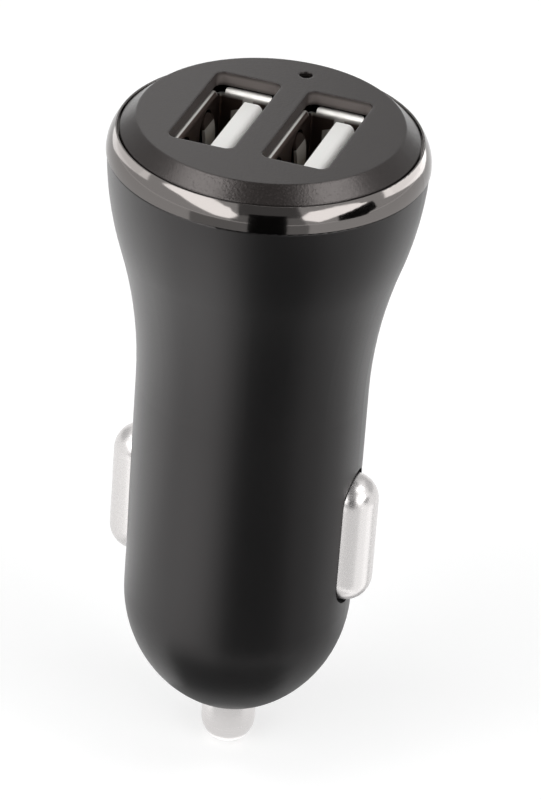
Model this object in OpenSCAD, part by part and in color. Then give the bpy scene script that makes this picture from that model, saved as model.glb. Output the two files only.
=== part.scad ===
// Car USB charger plug with two upright USB-A ports in its face, two sprung side contacts and a sprung tip.
// The plug stands along Z with the ports on top. The origin is on its axis, halfway down the plain barrel.

/* [Barrel] */
// Radius of the plain barrel that enters the socket
barrel_r = 10.25; // [9.9:0.05:10.4]
// Length of plain barrel between the neck and the side contacts
grip_l = 6.8; // [5:0.2:10]
// How much the radius narrows along the stretch with the side contacts
draft = 0.05; // [0.02:0.01:0.1]
// Wall of the moulded housing
wall = 1.3; // [1:0.05:1.5]

/* [Neck and shoulder] */
// Largest radius of the housing, just under the trim ring
head_r = 13.86; // [13.4:0.02:14.3]
// Radius of the hollow curve between barrel and shoulder
neck_arc = 44; // [38:1:50]
// Radius of the bulging curve of the shoulder
shoulder_arc = 33; // [28:1:38]
// Height of the face over the middle of the shoulder's curve
shoulder_rise = 2.46; // [1.8:0.02:3.2]
// Wall of the housing round the cap's spigot, at its rim
rim_wall = 1.86; // [1.6:0.02:2.2]
// Depth of the straight bore that takes the cap's spigot
rim_bore_l = 5; // [4:0.1:6]

/* [Nose] */
// Radius of the curve from barrel to nose
nose_arc = 12.5; // [11.5:0.1:14]
// Thickness of the nose's floor, which guides the tip
nose_floor = 2.1; // [1.9:0.1:2.6]
// Width of the ring of plastic round the tip at the nose's end
nose_ring = 0.3; // [0.25:0.05:0.6]
// Chamfer round the nose's end
nose_chamfer = 0.2; // [0.1:0.05:0.25]

/* [Trim ring and face cap] */
// How far the trim ring stands out of the housing
ring_out = 0.09; // [0.02:0.01:0.2]
// How far the cap's edge lies inside the ring's outside
cap_in = 1.06; // [1:0.01:1.15]
// Gap between the cap's edge and the ring
ring_gap = 0.16; // [0.1:0.01:0.2]
// Width of the cap's bevel
bevel_w = 1.37; // [1.1:0.01:1.6]
// Height of the cap's bevel
bevel_h = 1.27; // [1:0.01:1.5]
// Height of the trim ring
ring_h = 2.15; // [1.8:0.05:2.5]
// Thickness of the ring's foot, under the cap
ring_foot = 0.95; // [0.7:0.05:1.2]
// Radius of the ring's bulging flank
ring_arc = 3.5; // [3.2:0.05:4]
// Thickness of the cap's plate round the ports
plate_t = 1.25; // [0.9:0.05:1.35]
// Wall of the cap's spigot
spigot_wall = 1.2; // [0.9:0.05:1.4]
// Length of the spigot below the ring
spigot_l = 4.5; // [3.5:0.1:5]
// Gap between parts that slip together
slip = 0.1; // [0.05:0.01:0.15]
// Radius of the snap bead round the spigot
snap_r = 0.35; // [0.25:0.05:0.45]

/* [Status light] */
// Distance of the light's hole from the edge of the flat face
light_in = 2.33; // [2.2:0.01:2.6]
// Radius of the light's hole in the face
light_hole_r = 0.6; // [0.4:0.05:0.7]
// Radius of the light pipe
pipe_r = 0.95; // [0.8:0.05:1]

/* [USB ports] */
// Distance between the middles of the two ports
port_pitch = 8.35; // [8.2:0.05:8.6]
// Long inside size of a port's shell
port_w = 12.5; // [12.4:0.02:12.6]
// Short inside size of a port's shell
port_t = 5.12; // [5:0.02:5.2]
// Thickness of the shell's sheet
shell_sheet = 0.3; // [0.25:0.01:0.35]
// Depth of the shell's rim below the face
rim_drop = 1.42; // [1.36:0.02:1.8]
// Height of the shell
shell_h = 13.4; // [12.5:0.1:14]
// Radius of the flared lips at the shell's rim
lip_r = 0.5; // [0.4:0.02:0.6]
// Thickness of the tongue
tongue_t = 1.94; // [1.8:0.02:2]
// Width of the tongue
tongue_w = 11.1; // [10.8:0.1:11.4]
// Depth of the tongue's end below the shell's rim
tongue_drop = 0.48; // [0.3:0.02:0.8]
// Distance of the tongue's contact side from the port's middle
tongue_off = -0.06; // [-0.1:0.02:0.1]
// Height of the block that carries the tongue
block_h = 3.6; // [3:0.1:4.5]
// Width of a contact blade
blade_w = 1; // [0.8:0.05:1.2]
// Distance of each inner contact blade from the port's middle
blade_in = 1; // [0.9:0.05:1.1]
// Distance of each outer contact blade from the port's middle
blade_out = 3.5; // [3.3:0.05:3.6]
// Width of a spring finger cut from the shell
finger_w = 2.4; // [1.8:0.1:2.6]
// Length of a spring finger
finger_l = 5.4; // [4.6:0.1:7]
// How far a spring finger bows into the port
finger_bow = 0.5; // [0.3:0.05:0.6]

/* [Side contacts] */
// Length of a side contact
contact_l = 12.6; // [11.8:0.1:13.2]
// Width of a side contact
contact_w = 4.85; // [4.4:0.05:5]
// How far a side contact stands out of the barrel
contact_out = 2.07; // [1.8:0.01:2.3]
// How far a side contact can be pressed in
contact_travel = 2.05; // [1.7:0.05:2.05]
// Thickness of the contact's sheet
contact_sheet = 0.42; // [0.35:0.01:0.5]
// Width of the flange that keeps the contact in
contact_flange = 0.75; // [0.5:0.05:0.85]
// Clearance beside a contact in its slot
slot_clear = 0.12; // [0.08:0.01:0.2]
// Clearance at each end of a contact in its slot
slot_end_clear = 0.3; // [0.2:0.05:0.4]
// Barrel between a contact's upper end and the start of its stretch
contact_top = 0.4; // [0.35:0.05:0.8]
// Barrel between a contact's lower end and the nose
contact_foot = 1.6; // [1.4:0.05:2.2]
// Thickness of the leaf spring behind a contact
leaf_t = 0.25; // [0.2:0.01:0.3]
// Width of the leaf spring
leaf_w = 5.4; // [5:0.1:5.6]

/* [Tip] */
// Radius of the tip
tip_r = 2.45; // [2.2:0.05:2.6]
// How far the tip stands out of the nose
tip_out = 5.15; // [4.5:0.05:6]
// How far the tip can be pressed in
tip_travel = 3; // [2:0.1:3.4]
// Radius of the flange that keeps the tip in
tip_flange_r = 3.3; // [3:0.05:3.5]
// Thickness of the tip's flange
tip_flange_t = 0.8; // [0.6:0.05:1]
// Radius of the spring's wire
spring_wire_r = 0.25; // [0.2:0.01:0.3]
// Radius of the spring's coils, to the middle of the wire
spring_coil_r = 2; // [1.9:0.05:2.1]
// Number of turns in the spring
spring_turns = 6; // [5:1:7]
// Length of the spring at rest
spring_l = 8; // [7.6:0.1:8.2]

/* [Circuit boards] */
// Thickness of both boards
board_t = 1; // [0.8:0.05:1.1]
// Gap between the round board and the housing's wall
board_gap = 0.3; // [0.1:0.05:0.5]
// Gap between the upright board's edges and the housing's wall
board_edge_gap = 0.75; // [0.6:0.05:0.95]
// Thickness of each rib of the board's rails
rail_t = 1; // [0.8:0.05:1.2]
// Gap between the input capacitor and the housing's wall
can_wall_gap = 0.7; // [0.7:0.05:1]
// Gap between the capacitors' ends and the ends of their stretch of board
can_end_gap = 2.4; // [2.2:0.1:3]
// Radius of the output capacitor
output_cap_r = 2.5; // [2:0.05:2.6]
// Radius of the inductor's core
core_r = 4; // [3.5:0.1:4.2]
// Height of the inductor's core
core_h = 4.8; // [4:0.1:5.2]

/* [Hidden] */

$fn = 96;
eps = 0.01;
far = 60;

// How far a cut runs past the surface it goes through
past = 1;

// Clearances and radii of the housing
tip_clear = 0.1;
seat_gap = 0.05;
nose_r = barrel_r - draft;
nose_end_r = tip_r + tip_clear + nose_ring;
nose_l = sqrt(pow(nose_arc, 2) - pow(nose_end_r + nose_arc - nose_r, 2));
bore_r = head_r - rim_wall;
spigot_r = bore_r - slip;
cavity_r = barrel_r - wall;

// Radii of the trim ring and the cap, and the light's place
ring_r = head_r + ring_out;
bevel_r = ring_r - cap_in;
face_r = bevel_r - bevel_w;
light_y = face_r - light_in;

// Heights along the axis, from the plain barrel's middle
z_neck = grip_l / 2;
neck_dr = barrel_r + neck_arc - head_r + shoulder_arc;
neck_dz = sqrt(pow(neck_arc + shoulder_arc, 2) - pow(neck_dr, 2));
z_shoulder = z_neck + neck_dz;
z_face = z_shoulder + shoulder_rise;
z_ring_top = z_face - bevel_h;
z_rim = z_ring_top - ring_h;
z_zone = -grip_l / 2;
z_contact = z_zone - contact_top - contact_l / 2;
z_nose = z_contact - contact_l / 2 - contact_foot;
z_nose_end = z_nose - nose_l;
z_floor = z_nose_end + nose_floor;

// Radius of the neck's inner wall at height z
function neck_wall_r(z) = barrel_r + neck_arc - sqrt(pow(neck_arc + wall, 2) - pow(z - z_neck, 2));

// Snap bead: how far its middle lies inside the spigot's surface, and its height
snap_in = 0.1;
snap_up = 1;
z_snap = z_rim - spigot_l + snap_up;

// Ports
shell_x = port_t / 2 + shell_sheet;
shell_y = port_w / 2 + shell_sheet;
z_shell_top = z_face - rim_drop;
z_board_top = z_shell_top - shell_h;
z_board_under = z_board_top - board_t;
port_board_r = neck_wall_r(z_board_under) - board_gap;
shell_corner = 0.5;
z_tongue = z_shell_top - tongue_drop;
blade_t = 0.25;
blade_proud = 0.08;
blade_x = tongue_off - blade_proud;
blade_at = [blade_in, blade_out];
leg_w = 1.2;
leg_in = 1.6;
leg_y = port_w / 2 - leg_in;
finger_slit = 0.3;
finger_y = 2.8;
finger_drop = 0.9;
z_finger = z_shell_top - finger_drop - finger_l / 2;
finger_arc = (pow(finger_l / 2, 2) + pow(finger_bow, 2)) / (2 * finger_bow);

// Tip and its spring
z_flange = z_floor + seat_gap;
z_spring = z_flange + tip_flange_t + seat_gap;
z_cup_floor = z_spring + spring_l + seat_gap;
cup_floor_t = 0.6;
cup_wall = 0.45;
cup_depth = 2.2;
cup_clear = 0.12;
cup_r = spring_coil_r + spring_wire_r + cup_clear;
z_board_foot = z_cup_floor + cup_floor_t;
prong_h = 2;
stem_clear = 0.35;
stem_r = spring_coil_r - spring_wire_r - stem_clear;
stem_spare = 1;
stem_l = spring_l - tip_travel - stem_spare;

// Side contacts
contact_r = contact_w / 2;
contact_axis = barrel_r + contact_out - contact_r;
contact_half = contact_l / 2 - contact_r;
flange_r = cavity_r - slip;
flange_in_r = flange_r - contact_sheet;
leaf_top = sqrt(pow(flange_in_r, 2) - pow(leaf_w / 2, 2)) - slip;
leaf_rise = contact_travel + leaf_t;
leaf_foot = leaf_top - leaf_rise;
leaf_end = 1.65;
leaf_half = contact_l / 2 - leaf_end;
leaf_arc = (pow(leaf_half, 2) + pow(leaf_rise, 2)) / (2 * leaf_rise);

// Upright board: half its thickness, its half width between the contacts, its rails and its tabs
board_y = board_t / 2;
board_half_w = cavity_r - board_edge_gap;
clip_back = 0.3;
board_waist = leaf_foot - clip_back;
rail_up = 0.8;
z_rail_foot = z_zone + rail_up;
rail_grip = 0.8;
rail_in = board_half_w - rail_grip;
z_parts = (z_board_under + z_rail_foot) / 2;
board_tab_w = 1.6;
board_tab_x = board_half_w - board_tab_w / 2 - slip;

// Pins between the boards
link_pins = [-1, 0, 1];
link_r = 0.25;
link_off = 0.9;
link_y = -board_y - link_off;

// Half the space between the two can capacitors, their length, and the input can's radius, which fills the
// quarter of the bore between the board, the other can and the wall
can_gap = 0.4;
can_l = z_board_under - z_rail_foot - 2 * can_end_gap;
can_bore = cavity_r - can_wall_gap;
can_sum = can_gap + board_y + can_bore;
input_cap_r = sqrt(pow(can_sum, 2) + pow(can_bore, 2) - pow(can_gap, 2) - pow(board_y, 2)) - can_sum;

// Flanges of the inductor's core and the radius between them
core_lip = 0.8;
core_neck_r = 2;

// Parts between the side contacts: their height, and the controller's size
chip_up = 2.2;
z_chip = z_contact + chip_up;
chip_w = 3.9;
chip_l = 4.9;
chip_t = 1.5;
chip_gap = 0.15;

// Steps of the coil spring's wire
coil_steps = 20;
coil_sides = 8;
coil_rings = spring_turns * coil_steps;
coil_rise = spring_l - 2 * spring_wire_r;

// A box from its middle in X and Y and its foot in Z
module block(size, at = [0, 0, 0]) {
    translate(at + [-size[0] / 2, -size[1] / 2, 0]) cube(size);
}

// A flat rectangle with rounded corners, about the origin
module round_rect(w, h, r) {
    square([w - 2 * r, h], center = true);
    square([w, h - 2 * r], center = true);
    for (x = [-1, 1], y = [-1, 1])
        translate([x * (w / 2 - r), y * (h / 2 - r)]) circle(r, $fn = 32);
}

// A square corner with a round quarter taken out, to round an outline's corner
module corner_cut(r) {
    difference() {
        square(r + eps);
        circle(r, $fn = 48);
    }
}

// Height and radius at which the shoulder's curve meets the neck's, for a wall set in by t
function turn_z(t) = z_shoulder - (shoulder_arc - t) * neck_dz / (shoulder_arc + neck_arc);
function turn_r(t) = head_r - shoulder_arc + (shoulder_arc - t) * neck_dr / (shoulder_arc + neck_arc);

// Half outline of the neck and shoulder up to height z, set in by t
module flare(t, z) {
    intersection() {
        translate([head_r - shoulder_arc, z_shoulder]) circle(shoulder_arc - t, $fn = 720);
        translate([0, turn_z(t)]) square([head_r, z - turn_z(t)]);
    }
    difference() {
        translate([0, z_neck]) square([turn_r(t), turn_z(t) - z_neck]);
        translate([barrel_r + neck_arc, z_neck]) circle(neck_arc + t, $fn = 720);
    }
}

// Half outline of the nose down to height z, set in by t
module nose(t, z) {
    intersection() {
        translate([nose_r - nose_arc, z_nose]) circle(nose_arc - t, $fn = 360);
        translate([0, z]) square([nose_r, z_nose - z]);
    }
}

// The housing's outside as a solid: shoulder and neck, plain barrel, tapered stretch, nose
module housing_outside() {
    rim_round = 0.3;
    rim_r = head_r - shoulder_arc + sqrt(pow(shoulder_arc, 2) - pow(z_shoulder - z_rim, 2));
    rotate_extrude() difference() {
        flare(0, z_rim);
        translate([rim_r - rim_round, z_rim - rim_round]) corner_cut(rim_round);
    }
    translate([0, 0, z_zone]) cylinder(r = barrel_r, h = grip_l);
    translate([0, 0, z_nose]) cylinder(r1 = nose_r, r2 = barrel_r, h = z_zone - z_nose);
    rotate_extrude() difference() {
        nose(0, z_nose_end);
        polygon([[nose_end_r - nose_chamfer, z_nose_end], [nose_end_r + nose_chamfer, z_nose_end - eps],
            [nose_end_r + nose_chamfer, z_nose_end + nose_chamfer / 2]]);
    }
}

// The hollow inside the housing, as one solid
module housing_hollow() {
    rotate_extrude() {
        translate([0, z_rim - rim_bore_l]) square([bore_r, rim_bore_l + past]);
        translate([spigot_r - snap_in, z_snap]) circle(snap_r + slip, $fn = 32);
        flare(wall, z_rim - rim_bore_l + eps);
        translate([0, z_nose]) square([cavity_r, z_neck - z_nose]);
        nose(wall, z_floor);
    }
}

// The two rails that hold the upright board by its edges
module rails() {
    for (x = [-1, 1], y = [-1, 1])
        translate([x > 0 ? rail_in : -far, y > 0 ? board_y + slip : -board_y - slip - rail_t, z_rail_foot])
            cube([far - rail_in, rail_t, z_board_under - z_rail_foot]);
}

// A slot's or contact's outline, pushed along X from x0 to x1
module stadium(r, half, x0, x1) {
    translate([x0, -r, z_contact - half]) cube([x1 - x0, 2 * r, 2 * half]);
    for (s = [-1, 1])
        translate([x0, 0, z_contact + s * half]) rotate([0, 90, 0]) cylinder(r = r, h = x1 - x0);
}

// One-piece moulded housing: shoulder, neck, barrel and nose, with slots for the side contacts and the tip's hole
module housing() color("#2b2b2c") {
    difference() {
        housing_outside();
        difference() {
            housing_hollow();
            rails();
        }
        translate([0, 0, z_nose_end - past]) cylinder(r = tip_r + tip_clear, h = nose_floor + 2 * past);
        for (a = [0, 180])
            rotate([0, 0, a])
                stadium(contact_r + slot_clear, contact_half + slot_end_clear, cavity_r - past, barrel_r + past);
    }
}

// Plated ring between the housing and the face cap, with a bulging flank and a rounded lip
module trim_ring() color("#5a5556") {
    lip_round = 0.08;
    ring_in = bevel_r + ring_gap;
    lip_out = ring_r - ring_arc + sqrt(pow(ring_arc, 2) - pow(ring_h, 2));
    rotate_extrude() difference() {
        intersection() {
            translate([ring_r - ring_arc, z_rim]) circle(ring_arc, $fn = 360);
            translate([0, z_rim]) square([ring_r, ring_h]);
        }
        square([spigot_r + slip, far]);
        translate([0, z_rim + ring_foot]) square([ring_in, far]);
        translate([lip_out - lip_round, z_ring_top - lip_round]) corner_cut(lip_round);
        translate([ring_in + lip_round, z_ring_top - lip_round]) mirror([1, 0]) corner_cut(lip_round);
    }
}

// Moulded cap with the two port openings, a bevelled edge and a spigot that snaps into the housing
module face_cap() color("#4a4747") {
    z_seat = z_rim + ring_foot;
    opening_corner = 0.8;
    difference() {
        rotate_extrude() {
            polygon([[0, z_ring_top], [bevel_r, z_ring_top], [face_r, z_face], [0, z_face]]);
            translate([0, z_seat]) square([bevel_r, z_ring_top - z_seat]);
            difference() {
                union() {
                    translate([0, z_rim - spigot_l]) square([spigot_r, spigot_l + ring_foot]);
                    translate([spigot_r - snap_in, z_snap]) circle(snap_r, $fn = 32);
                }
                square([spigot_r - spigot_wall, far]);
            }
        }
        translate([0, 0, z_seat - eps]) cylinder(r = spigot_r - spigot_wall, h = z_face - plate_t - z_seat);
        for (s = [-1, 1])
            translate([s * port_pitch / 2, 0, z_face - plate_t - past])
                linear_extrude(plate_t + 2 * past)
                    round_rect(2 * (shell_x + slip), 2 * (shell_y + slip), opening_corner);
        translate([0, light_y, z_face - plate_t - past])
            cylinder(r = light_hole_r, h = plate_t + 2 * past, $fn = 32);
    }
    pipe_sleeve();
}

// Sleeve under the cap's plate that holds the light pipe
module pipe_sleeve() {
    sleeve_l = 1.8;
    sleeve_wall = 0.5;
    translate([0, light_y, z_face - plate_t - sleeve_l]) difference() {
        cylinder(r = pipe_r + seat_gap + sleeve_wall, h = sleeve_l, $fn = 48);
        translate([0, 0, -past]) cylinder(r = pipe_r + seat_gap, h = sleeve_l + 2 * past, $fn = 48);
    }
}

// Clear rod that carries the status light up to its hole in the face
module light_pipe() color("#b8bcc0") {
    led_gap = 0.7;
    nub_l = 0.4;
    z_pipe_foot = z_board_top + led_gap;
    z_pipe_top = z_face - plate_t;
    translate([0, light_y, z_pipe_foot]) cylinder(r = pipe_r, h = z_pipe_top - z_pipe_foot, $fn = 48);
    translate([0, light_y, z_pipe_top - eps]) cylinder(r = light_hole_r - seat_gap, h = nub_l, $fn = 32);
}

// Surface-mounted light on the round board, under the pipe
module status_led() color("#e8e4c8") {
    carrier = [1.6, 0.8, 0.25];
    lens = [1, 0.8, 0.3];
    led_in = 0.6;
    led_y = port_board_r - led_in;
    block(carrier, [0, led_y, z_board_top]);
    block(lens, [0, led_y, z_board_top + carrier[2] - eps]);
}

// A finger's outline as a solid across the wall at +X: straight sides from height z, a round end, grown by g
module finger_outline(z, g) {
    half = finger_w / 2 + g;
    z_end = z_finger + finger_l / 2 - finger_w / 2;
    translate([port_t / 2 - 2 * finger_bow, 0, 0]) {
        translate([0, -half, z]) cube([4 * finger_bow, 2 * half, z_end - z]);
        translate([0, 0, z_end]) rotate([0, 90, 0]) cylinder(r = half, h = 4 * finger_bow, $fn = 48);
    }
}

// One spring finger of a port's shell, on the wall at +X, bowed inwards
module finger() {
    intersection() {
        finger_outline(z_finger - finger_l / 2 - past, 0);
        translate([port_t / 2 - finger_bow + finger_arc, -finger_w, z_finger]) rotate([-90, 0, 0])
            difference() {
                cylinder(r = finger_arc, h = 2 * finger_w, $fn = 360);
                translate([0, 0, -past])
                    cylinder(r = finger_arc - shell_sheet, h = 2 * finger_w + 2 * past, $fn = 360);
                translate([-finger_arc + finger_bow + shell_sheet, -far, -past]) cube([2 * far, 2 * far, far]);
            }
    }
}

// A lip of length l along Y, with round ends, that flares out of the wall whose inside is at wall_in
module lip(l, wall_in) {
    lip_end = 0.05;
    end_slack = 0.1;
    end_r = lip_r - end_slack;
    difference() {
        translate([wall_in + lip_r, -l / 2, z_shell_top - lip_r]) rotate([-90, 0, 0])
            intersection() {
                difference() {
                    cylinder(r = lip_r, h = l, $fn = 64);
                    translate([0, 0, -past]) cylinder(r = lip_r - shell_sheet, h = l + 2 * past, $fn = 64);
                }
                translate([-lip_r, -lip_r, 0]) cube([lip_r + lip_end, lip_r, l]);
            }
        for (s = [0, 1])
            mirror([0, s, 0]) translate([wall_in + lip_r + lip_end - end_r, l / 2 - end_r, z_shell_top - 2 * lip_r])
                linear_extrude(3 * lip_r) corner_cut(end_r);
    }
}

// Folded steel shell of one port, with flared lips, spring fingers and legs through the board
module usb_shell(side) {
    tube_h = shell_h - lip_r;
    leg_l = board_t + 0.5;
    long_notch = 0.65;
    short_notch = 0.45;
    finger_root = 0.8;
    z_root = z_finger - finger_l / 2 + finger_root;
    translate([side * port_pitch / 2, 0, 0]) {
        difference() {
            translate([0, 0, z_board_top]) linear_extrude(tube_h) difference() {
                round_rect(2 * shell_x, 2 * shell_y, shell_corner);
                round_rect(port_t, port_w, shell_corner - shell_sheet);
            }
            for (a = [0, 180], s = [-1, 1])
                rotate([0, 0, a]) translate([0, s * finger_y, 0]) finger_outline(z_root, finger_slit);
        }
        for (a = [0, 180], s = [-1, 1])
            rotate([0, 0, a]) translate([0, s * finger_y, 0]) finger();
        for (a = [0, 180]) {
            rotate([0, 0, a]) lip(port_w - 2 * long_notch, port_t / 2);
            rotate([0, 0, a + 90]) lip(port_t - 2 * short_notch, port_w / 2);
        }
        for (x = [-1, 1], y = [-1, 1])
            block([shell_sheet, leg_w, leg_l + eps],
                [x * (port_t + shell_sheet) / 2, y * leg_y, z_board_top - leg_l]);
    }
}

module usb_shell_left() color("#c9c7c3") usb_shell(-1);

module usb_shell_right() color("#c9c7c3") usb_shell(1);

// The four contact blades of one port, each from the tongue's end down through the board
module blades(side) {
    pin_w = 0.6;
    pin_out = 0.5;
    tip_back = 0.6;
    z_blade = z_board_top + block_h;
    for (s = [-1, 1], y = blade_at)
        translate([side * port_pitch / 2 + blade_x, s * y, 0]) {
            translate([0, -blade_w / 2, z_blade]) cube([blade_t, blade_w, z_tongue - tip_back - z_blade]);
            translate([0, -pin_w / 2, z_board_under - pin_out])
                cube([blade_t, pin_w, z_blade + pin_out - z_board_under + eps]);
        }
}

// White moulded tongue and its block, with grooves that hold the blades
module usb_tongue(side) {
    edge_round = 0.85;
    x_edge = tongue_off + tongue_t - edge_round;
    difference() {
        translate([side * port_pitch / 2, 0, 0]) {
            translate([0, 0, z_board_top]) linear_extrude(block_h)
                round_rect(port_t - 2 * seat_gap, port_w - 2 * seat_gap, shell_corner - shell_sheet);
            difference() {
                translate([tongue_off, -tongue_w / 2, z_board_top + block_h - eps])
                    cube([tongue_t, tongue_w, z_tongue - z_board_top - block_h + eps]);
                translate([x_edge, -far, z_tongue - edge_round]) rotate([-90, 0, 0]) mirror([0, 1, 0])
                    linear_extrude(2 * far) corner_cut(edge_round);
                for (s = [0, 1])
                    mirror([0, s, 0]) translate([x_edge, tongue_w / 2 - edge_round, z_board_top + block_h])
                        linear_extrude(shell_h) corner_cut(edge_round);
            }
        }
        blades(side);
    }
}

module usb_tongue_left() color("#ecebe6") usb_tongue(-1);

module usb_tongue_right() color("#ecebe6") usb_tongue(1);

module usb_contacts_left() color("#c8a860") blades(-1);

module usb_contacts_right() color("#c8a860") blades(1);

// Round board that carries the ports and the light, with slots for legs, pins and the upright board's tabs
module port_board() color("#2e5b3c") {
    pin_hole = 0.9;
    difference() {
        translate([0, 0, z_board_under]) cylinder(r = port_board_r, h = board_t);
        for (side = [-1, 1]) {
            for (x = [-1, 1], y = [-1, 1])
                block([shell_sheet + 2 * slip, leg_w + 2 * slip, board_t + 2],
                    [side * port_pitch / 2 + x * (port_t + shell_sheet) / 2, y * leg_y, z_board_under - past]);
            for (s = [-1, 1], y = blade_at)
                block([pin_hole, pin_hole, board_t + 2],
                    [side * port_pitch / 2 + blade_x + blade_t / 2, s * y, z_board_under - past]);
            block([board_tab_w + 2 * slip, board_t + 2 * slip, board_t + 2],
                [side * board_tab_x, 0, z_board_under - past]);
        }
        for (x = link_pins)
            translate([x, link_y, z_board_under - past])
                cylinder(r = link_r + slip, h = board_t + 2 * past, $fn = 24);
    }
}

// Upright board: wide between the rails, narrow between the side contacts, with two tabs into the round board
module main_board() color("#2e5b3c") {
    translate([0, board_y, 0]) rotate([90, 0, 0]) linear_extrude(board_t) {
        translate([-board_half_w, z_rail_foot]) square([2 * board_half_w, z_board_under - z_rail_foot]);
        translate([-board_waist, z_board_foot]) square([2 * board_waist, z_rail_foot - z_board_foot + eps]);
        for (s = [-1, 1])
            translate([s * board_tab_x - board_tab_w / 2, z_board_under - eps]) square([board_tab_w, board_t]);
    }
}

// Bent pins that carry current from the upright board to the round one
module board_pins() color("#c8a860") {
    pin_drop = 1.6;
    pin_out = 0.4;
    for (x = link_pins) {
        translate([x, link_y, z_board_under - pin_drop])
            cylinder(r = link_r, h = pin_drop + board_t + pin_out, $fn = 24);
        translate([x, link_y, z_board_under - pin_drop]) sphere(link_r, $fn = 24);
        translate([x, link_y, z_board_under - pin_drop]) rotate([-90, 0, 0])
            cylinder(r = link_r, h = -board_y - link_y, $fn = 24);
    }
}

// Ferrite drum of the converter's inductor, its axis square to the board
module inductor_core() color("#3c3c40") {
    translate([0, board_y, z_parts]) rotate([-90, 0, 0]) rotate_extrude() {
        square([core_r, core_lip]);
        square([core_neck_r, core_h]);
        translate([0, core_h - core_lip]) square([core_r, core_lip]);
    }
}

// Copper winding between the drum's flanges
module inductor_winding() color("#b8703a") {
    turns = 6;
    pitch = (core_h - 2 * core_lip) / turns;
    lip_over = 0.3;
    outer_r = core_r - lip_over - pitch / 2;
    translate([0, board_y + core_lip, z_parts]) rotate([-90, 0, 0]) rotate_extrude()
        intersection() {
            union() {
                square([outer_r, pitch * turns]);
                for (i = [0:turns - 1])
                    translate([outer_r, pitch * (i + 0.5)]) circle(pitch / 2 + eps, $fn = 24);
            }
            translate([core_neck_r + seat_gap, 0]) square([core_r, pitch * turns]);
        }
}

// Can capacitor lying along the board, with a crimped neck and two bent leads into the board
module can_capacitor(r, x) {
    crimp_r = 0.35;
    crimp_in = 0.2;
    crimp_up = 1.1;
    lead_r = 0.25;
    lead_at = 1;
    lead_l = 1;
    y = -board_y - r;
    z = z_parts - can_l / 2;
    translate([x, y, z]) rotate_extrude() {
        difference() {
            square([r, can_l]);
            translate([r + crimp_r - crimp_in, crimp_up]) circle(crimp_r, $fn = 32);
        }
    }
    for (s = [-1, 1])
        translate([x + s * lead_at, y, z - lead_l]) {
            cylinder(r = lead_r, h = lead_l + eps, $fn = 24);
            sphere(lead_r, $fn = 24);
            rotate([-90, 0, 0]) cylinder(r = lead_r, h = r, $fn = 24);
        }
}

module input_capacitor() color("#2f3f63") can_capacitor(input_cap_r, -input_cap_r - can_gap);

module output_capacitor() color("#2f3f63") can_capacitor(output_cap_r, output_cap_r + can_gap);

// Moulded body of the step-down controller
module buck_controller() color("#202022") {
    dot_r = 0.3;
    dot_deep = 0.1;
    dot_in = 0.7;
    difference() {
        translate([-chip_w / 2, board_y + chip_gap, z_chip - chip_l / 2]) cube([chip_w, chip_t, chip_l]);
        translate([dot_in - chip_w / 2, board_y + chip_gap + chip_t - dot_deep, z_chip + chip_l / 2 - dot_in])
            rotate([-90, 0, 0]) cylinder(r = dot_r, h = past, $fn = 24);
    }
}

// The controller's eight bent leads
module controller_leads() color("#bfc1c4") {
    lead_w = 0.42;
    lead_t = 0.2;
    reach = 1.05;
    knee = 0.4;
    pitch = 1.27;
    for (s = [0, 1], i = [-1.5:1:1.5])
        mirror([s, 0, 0])
            translate([chip_w / 2, board_y, z_chip + i * pitch - lead_w / 2]) {
                translate([0, chip_t / 2, 0]) cube([knee, lead_t, lead_w]);
                translate([knee - lead_t, 0, 0]) cube([lead_t, chip_t / 2 + lead_t, lead_w]);
                translate([knee - lead_t, 0, 0]) cube([reach - knee + lead_t, lead_t, lead_w]);
            }
}

// Freewheel diode on the board's other side, with its two end terminals
module rectifier_diode() color("#26262a") {
    body = [2.6, 2.1, 4.2];
    terminal = [1.4, 0.9, 0.4];
    translate([-body[0] / 2, -board_y - body[1], z_chip - body[2] / 2]) cube(body);
    for (s = [-1, 1])
        block(terminal, [0, -board_y - terminal[1] / 2,
            z_chip + s * (body[2] + terminal[2] - eps) / 2 - terminal[2] / 2]);
}

// Resettable fuse between the tip's cup and the converter
module input_fuse() color("#d0b02c") {
    size = [3.2, 0.9, 4.2];
    fuse_gap = 0.3;
    block(size, [0, board_y + size[1] / 2, z_board_foot + prong_h + fuse_gap]);
}

// Chip resistors and capacitors, as a group
module chip_parts() color("#a89878") {
    size = [0.9, 0.55, 1.7];
    near_chip = [4.1, 1.6];
    column_x = 3.2;
    first = 3.2;
    step = 2.8;
    for (s = [-1, 1], t = [-1, 1])
        block(size, [s * near_chip[0], board_y + size[1] / 2, z_chip + t * near_chip[1] - size[2] / 2]);
    for (s = [-1, 1], i = [0:2])
        block(size, [s * column_x, -board_y - size[1] / 2, z_chip - first - i * step]);
}

// Brass cup that seats the tip's spring and grips the foot of the upright board
module spring_cup() color("#c2a14f") {
    prong_w = 3;
    prong_t = 0.5;
    translate([0, 0, z_cup_floor - cup_depth]) difference() {
        cylinder(r = cup_r + cup_wall, h = cup_depth + cup_floor_t);
        translate([0, 0, -past]) cylinder(r = cup_r, h = cup_depth + past);
    }
    for (s = [-1, 1])
        block([prong_w, prong_t, prong_h + eps], [0, s * (board_y + prong_t / 2), z_board_foot - eps]);
}

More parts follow.
